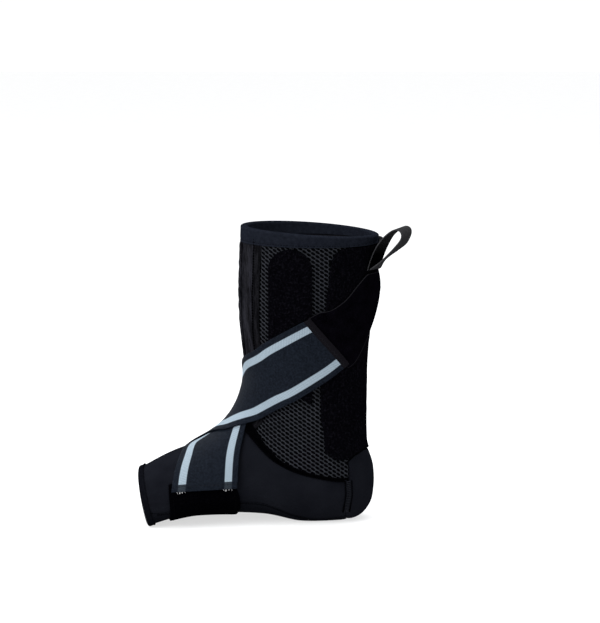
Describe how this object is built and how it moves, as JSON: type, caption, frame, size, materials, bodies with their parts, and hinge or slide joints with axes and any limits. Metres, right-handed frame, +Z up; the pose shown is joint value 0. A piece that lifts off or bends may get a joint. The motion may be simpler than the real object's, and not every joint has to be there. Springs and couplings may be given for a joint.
{
  "type": "foot brace",
  "caption": "Open-toed ankle and foot brace of neoprene, spacer mesh and loop pile, with elastic straps crossed over the instep, hook tabs, stay pockets and pull loops.",
  "frame": {"origin": "on the floor, on the flat of the heel's sole, under the middle of the shaft", "axes": "+Z up the shaft, -X towards the toes, -Y towards the inner ankle of a right foot"},
  "size_m": [0.2197, 0.1016, 0.2387],
  "materials": {
    "neoprene": "smooth knit-faced neoprene, near black",
    "spacer_mesh": "open net over a darker backing",
    "loop_pile": "matt loop pile, black",
    "binding": "stretch binding, dark navy",
    "elastic": "woven elastic, dark navy with pale stripes",
    "hook_fabric": "smooth-backed hook fabric, black",
    "webbing": "woven tape, dark grey"
  },
  "bodies": {
    "root": {"foot_panel": "neoprene", "sole_panel": "neoprene", "heel_cup": "neoprene", "shaft_mesh": "spacer_mesh", "front_panel": "loop_pile", "front_flap": "loop_pile", "back_panel": "loop_pile", "cuff_binding": "binding", "toe_binding": "binding", "sole_band": "loop_pile", "stay_pocket_inner": "loop_pile", "stay_pocket_outer": "loop_pile", "quarter_tape_inner": "binding", "quarter_tape_outer": "binding", "strap_inner": "elastic", "strap_outer": "elastic", "hook_tab_inner": "hook_fabric", "hook_tab_outer": "hook_fabric", "pull_loop_inner": "webbing", "pull_loop_outer": "webbing"}
  },
  "joints": []
}
